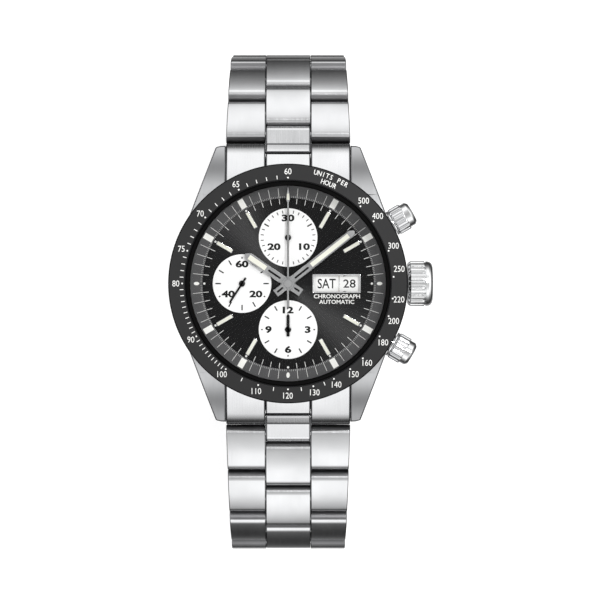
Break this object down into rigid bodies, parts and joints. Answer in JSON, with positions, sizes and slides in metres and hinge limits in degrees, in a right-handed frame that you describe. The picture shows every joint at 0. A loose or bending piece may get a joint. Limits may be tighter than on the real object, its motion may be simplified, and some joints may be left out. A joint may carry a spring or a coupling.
{
  "type": "chronograph wristwatch",
  "caption": "Round chronograph wristwatch with a tachymeter bezel, sub-dials, screw-lock pushers and a link bracelet with a folding clasp.",
  "frame": {"origin": "centre of the outer face of the case back, which is the face that rests on the wrist", "axes": "+Z out of the dial towards the eye, +Y towards 12 o'clock along the bracelet, +X towards the crown at 3 o'clock"},
  "size_m": [0.0466, 0.0909, 0.0632],
  "materials": {
    "case_steel": "fine brushed steel with thin polished bevels",
    "polished_steel": "polished steel",
    "bracelet_steel": "brushed along the bracelet, polished sides of the links",
    "clasp_steel": "brushed steel",
    "movement_steel": "plain machined steel",
    "bezel_black": "satin black with white printing",
    "bezel_dark": "blackened steel rim",
    "crystal_glass": "clear, slightly domed",
    "gasket": "matt black",
    "dial_dark": "satin dark grey with white printing",
    "white_discs": "matt white with black printing",
    "polished_hands": "polished, pale luminous filling",
    "black_hands": "satin black lacquer",
    "brass_train": "plain gilt brass"
  },
  "bodies": {
    "head": {"case_middle": "case_steel", "case_back": "case_steel", "case_back_gasket": "gasket", "bezel_ring": "bezel_dark", "bezel_insert": "bezel_black", "crystal": "crystal_glass", "crystal_gasket": "gasket", "flange_ring": "dial_dark", "dial": "dial_dark", "hour_markers": "polished_hands", "date_window_frame": "polished_hands", "main_plate": "brass_train", "movement_holder": "movement_steel", "train_bridge": "movement_steel", "crown_tube": "case_steel", "pusher_tubes": "case_steel", "pusher_springs": "movement_steel", "end_link_12": "bracelet_steel", "end_link_6": "bracelet_steel", "lug_spring_bars": "case_steel"},
    "hour_hand": {"hour_hand": "polished_hands"},
    "minute_hand": {"minute_hand": "polished_hands"},
    "chrono_seconds_hand": {"chrono_seconds_hand": "polished_hands"},
    "running_seconds_hand": {"running_seconds_hand": "black_hands"},
    "minute_counter_hand": {"minute_counter_hand": "black_hands"},
    "hour_counter_hand": {"hour_counter_hand": "black_hands"},
    "day_disc": {"day_disc": "white_discs"},
    "date_disc": {"date_disc": "white_discs"},
    "mainspring_barrel": {"mainspring_barrel": "brass_train"},
    "fourth_wheel": {"fourth_wheel": "brass_train"},
    "escape_wheel": {"escape_wheel": "movement_steel"},
    "balance_wheel": {"balance_wheel": "brass_train"},
    "rotor": {"rotor": "movement_steel"},
    "setting_lever": {"setting_lever": "movement_steel"},
    "crown": {"crown": "polished_steel", "stem": "movement_steel"},
    "pusher_start": {"pusher_start": "polished_steel"},
    "pusher_reset": {"pusher_reset": "polished_steel"},
    "lock_collar_start": {"lock_collar_start": "case_steel"},
    "lock_collar_reset": {"lock_collar_reset": "case_steel"},
    "link_12_1": {"link_12_1": "bracelet_steel"},
    "link_12_2": {"link_12_2": "bracelet_steel"},
    "link_12_3": {"link_12_3": "bracelet_steel"},
    "link_12_4": {"link_12_4": "bracelet_steel"},
    "link_12_5": {"link_12_5": "bracelet_steel"},
    "link_12_6": {"link_12_6": "bracelet_steel"},
    "link_12_7": {"link_12_7": "bracelet_steel"},
    "link_6_1": {"link_6_1": "bracelet_steel"},
    "link_6_2": {"link_6_2": "bracelet_steel"},
    "link_6_3": {"link_6_3": "bracelet_steel"},
    "link_6_4": {"link_6_4": "bracelet_steel"},
    "link_6_5": {"link_6_5": "bracelet_steel"},
    "link_6_6": {"link_6_6": "bracelet_steel"},
    "link_6_7": {"link_6_7": "bracelet_steel"},
    "link_6_8": {"link_6_8": "bracelet_steel"},
    "clasp_cover": {"clasp_cover": "clasp_steel"},
    "clasp_outer_blade": {"clasp_outer_blade": "clasp_steel"},
    "clasp_inner_blade": {"clasp_inner_blade": "clasp_steel"},
    "clasp_button_left": {"clasp_button_left": "polished_steel"},
    "clasp_button_right": {"clasp_button_right": "polished_steel"}
  },
  "joints": [
    {"name": "minute_spin", "type": "hinge", "parent": "head", "child": "minute_hand", "pos_m": [0, 0, 0.00905], "axis": [0, 0, -1], "continuous": true},
    {"name": "hour_spin", "type": "hinge", "parent": "head", "child": "hour_hand", "pos_m": [0, 0, 0.0087], "axis": [0, 0, -1], "continuous": true},
    {"name": "chrono_seconds_spin", "type": "hinge", "parent": "head", "child": "chrono_seconds_hand", "pos_m": [0, 0, 0.0094], "axis": [0, 0, -1], "continuous": true},
    {"name": "minute_counter_spin", "type": "hinge", "parent": "head", "child": "minute_counter_hand", "pos_m": [0, 0.0081, 0.0082], "axis": [0, 0, -1], "continuous": true},
    {"name": "hour_counter_spin", "type": "hinge", "parent": "head", "child": "hour_counter_hand", "pos_m": [0, -0.0081, 0.0082], "axis": [0, 0, -1], "continuous": true},
    {"name": "fourth_wheel_spin", "type": "hinge", "parent": "head", "child": "fourth_wheel", "pos_m": [-0.0081, 0, 0.0046], "axis": [0, 0, -1], "continuous": true},
    {"name": "running_seconds_spin", "type": "hinge", "parent": "head", "child": "running_seconds_hand", "pos_m": [-0.0081, 0, 0.0082], "axis": [0, 0, -1], "continuous": true},
    {"name": "escape_wheel_spin", "type": "hinge", "parent": "head", "child": "escape_wheel", "pos_m": [-0.0056, -0.0066, 0.0053], "axis": [0, 0, -1], "continuous": true},
    {"name": "date_disc_spin", "type": "hinge", "parent": "head", "child": "date_disc", "pos_m": [0, 0, 0.00747], "axis": [0, 0, -1], "continuous": true},
    {"name": "day_disc_spin", "type": "hinge", "parent": "head", "child": "day_disc", "pos_m": [0, 0, 0.00747], "axis": [0, 0, -1], "continuous": true},
    {"name": "barrel_spin", "type": "hinge", "parent": "head", "child": "mainspring_barrel", "pos_m": [-0.0035, 0.0086, 0.005], "axis": [0, 0, -1], "continuous": true},
    {"name": "rotor_spin", "type": "hinge", "parent": "head", "child": "rotor", "pos_m": [0, 0, 0.002], "axis": [0, 0, -1], "continuous": true},
    {"name": "balance_swing", "type": "hinge", "parent": "head", "child": "balance_wheel", "pos_m": [0.0046, -0.008, 0.005], "axis": [0, 0, 1], "range_deg": [-150, 150], "stiffness_Nm_per_rad": 0.000002},
    {"name": "stem_slide", "type": "slide", "parent": "head", "child": "setting_lever", "axis": [1, 0, 0], "range_m": [0, 0.0015]},
    {"name": "crown_spin", "type": "hinge", "parent": "setting_lever", "child": "crown", "pos_m": [0.021, 0, 0.0056], "axis": [1, 0, 0], "continuous": true},
    {"name": "pusher_start_press", "type": "slide", "parent": "head", "child": "pusher_start", "axis": [-0.866, -0.5, 0], "range_m": [0, 0.0009], "stiffness_N_per_m": 800, "springref_m": -0.001},
    {"name": "lock_collar_start_turn", "type": "hinge", "parent": "head", "child": "lock_collar_start", "pos_m": [0.01949, 0.01125, 0.0056], "axis": [0.866, 0.5, 0], "range_deg": [0, 270]},
    {"name": "pusher_reset_press", "type": "slide", "parent": "head", "child": "pusher_reset", "axis": [-0.866, 0.5, 0], "range_m": [0, 0.0009], "stiffness_N_per_m": 800, "springref_m": -0.001},
    {"name": "lock_collar_reset_turn", "type": "hinge", "parent": "head", "child": "lock_collar_reset", "pos_m": [0.01949, -0.01125, 0.0056], "axis": [0.866, -0.5, 0], "range_deg": [0, 270]},
    {"name": "hinge_12_1", "type": "hinge", "parent": "head", "child": "link_12_1", "pos_m": [0, 0.02659, 0.00123], "axis": [1, 0, 0], "range_deg": [0, 19]},
    {"name": "hinge_12_2", "type": "hinge", "parent": "link_12_1", "child": "link_12_2", "pos_m": [0, 0.03395, -0.00302], "axis": [1, 0, 0], "range_deg": [0, 25]},
    {"name": "hinge_12_3", "type": "hinge", "parent": "link_12_2", "child": "link_12_3", "pos_m": [0, 0.03941, -0.00953], "axis": [1, 0, 0], "range_deg": [0, 35]},
    {"name": "hinge_12_4", "type": "hinge", "parent": "link_12_3", "child": "link_12_4", "pos_m": [0, 0.04089, -0.0179], "axis": [1, 0, 0], "range_deg": [0, 29]},
    {"name": "hinge_12_5", "type": "hinge", "parent": "link_12_4", "child": "link_12_5", "pos_m": [0, 0.03883, -0.02615], "axis": [1, 0, 0], "range_deg": [0, 27]},
    {"name": "hinge_12_6", "type": "hinge", "parent": "link_12_5", "child": "link_12_6", "pos_m": [0, 0.03383, -0.03303], "axis": [1, 0, 0], "range_deg": [0, 20]},
    {"name": "hinge_12_7", "type": "hinge", "parent": "link_12_6", "child": "link_12_7", "pos_m": [0, 0.02723, -0.03838], "axis": [1, 0, 0], "range_deg": [0, 16]},
    {"name": "hinge_6_1", "type": "hinge", "parent": "head", "child": "link_6_1", "pos_m": [0, -0.02659, 0.00123], "axis": [-1, 0, 0], "range_deg": [0, 5]},
    {"name": "hinge_6_2", "type": "hinge", "parent": "link_6_1", "child": "link_6_2", "pos_m": [0, -0.03476, -0.00111], "axis": [-1, 0, 0], "range_deg": [0, 18]},
    {"name": "hinge_6_3", "type": "hinge", "parent": "link_6_2", "child": "link_6_3", "pos_m": [0, -0.04219, -0.00524], "axis": [-1, 0, 0], "range_deg": [0, 33]},
    {"name": "hinge_6_4", "type": "hinge", "parent": "link_6_3", "child": "link_6_4", "pos_m": [0, -0.04682, -0.01236], "axis": [-1, 0, 0], "range_deg": [0, 36]},
    {"name": "hinge_6_5", "type": "hinge", "parent": "link_6_4", "child": "link_6_5", "pos_m": [0, -0.04712, -0.02086], "axis": [-1, 0, 0], "range_deg": [0, 29]},
    {"name": "hinge_6_6", "type": "hinge", "parent": "link_6_5", "child": "link_6_6", "pos_m": [0, -0.04393, -0.02874], "axis": [-1, 0, 0], "range_deg": [0, 23]},
    {"name": "hinge_6_7", "type": "hinge", "parent": "link_6_6", "child": "link_6_7", "pos_m": [0, -0.03847, -0.03525], "axis": [-1, 0, 0], "range_deg": [0, 18]},
    {"name": "hinge_6_8", "type": "hinge", "parent": "link_6_7", "child": "link_6_8", "pos_m": [0, -0.03168, -0.04037], "axis": [-1, 0, 0], "range_deg": [0, 14]},
    {"name": "clasp_cover_hinge", "type": "hinge", "parent": "link_12_7", "child": "clasp_cover", "pos_m": [0, 0.01972, -0.04237], "axis": [1, 0, 0], "range_deg": [0, 60]},
    {"name": "clasp_fold", "type": "hinge", "parent": "clasp_cover", "child": "clasp_outer_blade", "pos_m": [0, -0.02183, -0.04625], "axis": [1, 0, 0], "range_deg": [0, 45]},
    {"name": "clasp_inner_fold", "type": "hinge", "parent": "clasp_outer_blade", "child": "clasp_inner_blade", "pos_m": [0, 0.01512, -0.04433], "axis": [1, 0, 0], "range_deg": [-45, 0]},
    {"name": "clasp_button_left_press", "type": "slide", "parent": "clasp_cover", "child": "clasp_button_left", "axis": [1, 0, 0], "range_m": [0, 0.0005], "stiffness_N_per_m": 600, "springref_m": -0.0005},
    {"name": "clasp_button_right_press", "type": "slide", "parent": "clasp_cover", "child": "clasp_button_right", "axis": [-1, 0, 0], "range_m": [0, 0.0005], "stiffness_N_per_m": 600, "springref_m": -0.0005}
  ],
  "couplings": [
    {"joint": "hour_spin", "follows": "minute_spin", "ratio": 0.083333},
    {"joint": "minute_counter_spin", "follows": "chrono_seconds_spin", "ratio": 0.033333},
    {"joint": "hour_counter_spin", "follows": "chrono_seconds_spin", "ratio": 0.0013889},
    {"joint": "running_seconds_spin", "follows": "fourth_wheel_spin", "ratio": 1},
    {"joint": "escape_wheel_spin", "follows": "fourth_wheel_spin", "ratio": -8},
    {"joint": "day_disc_spin", "follows": "date_disc_spin", "ratio": 4.4286},
    {"joint": "clasp_inner_fold", "follows": "clasp_fold", "ratio": -1}
  ]
}
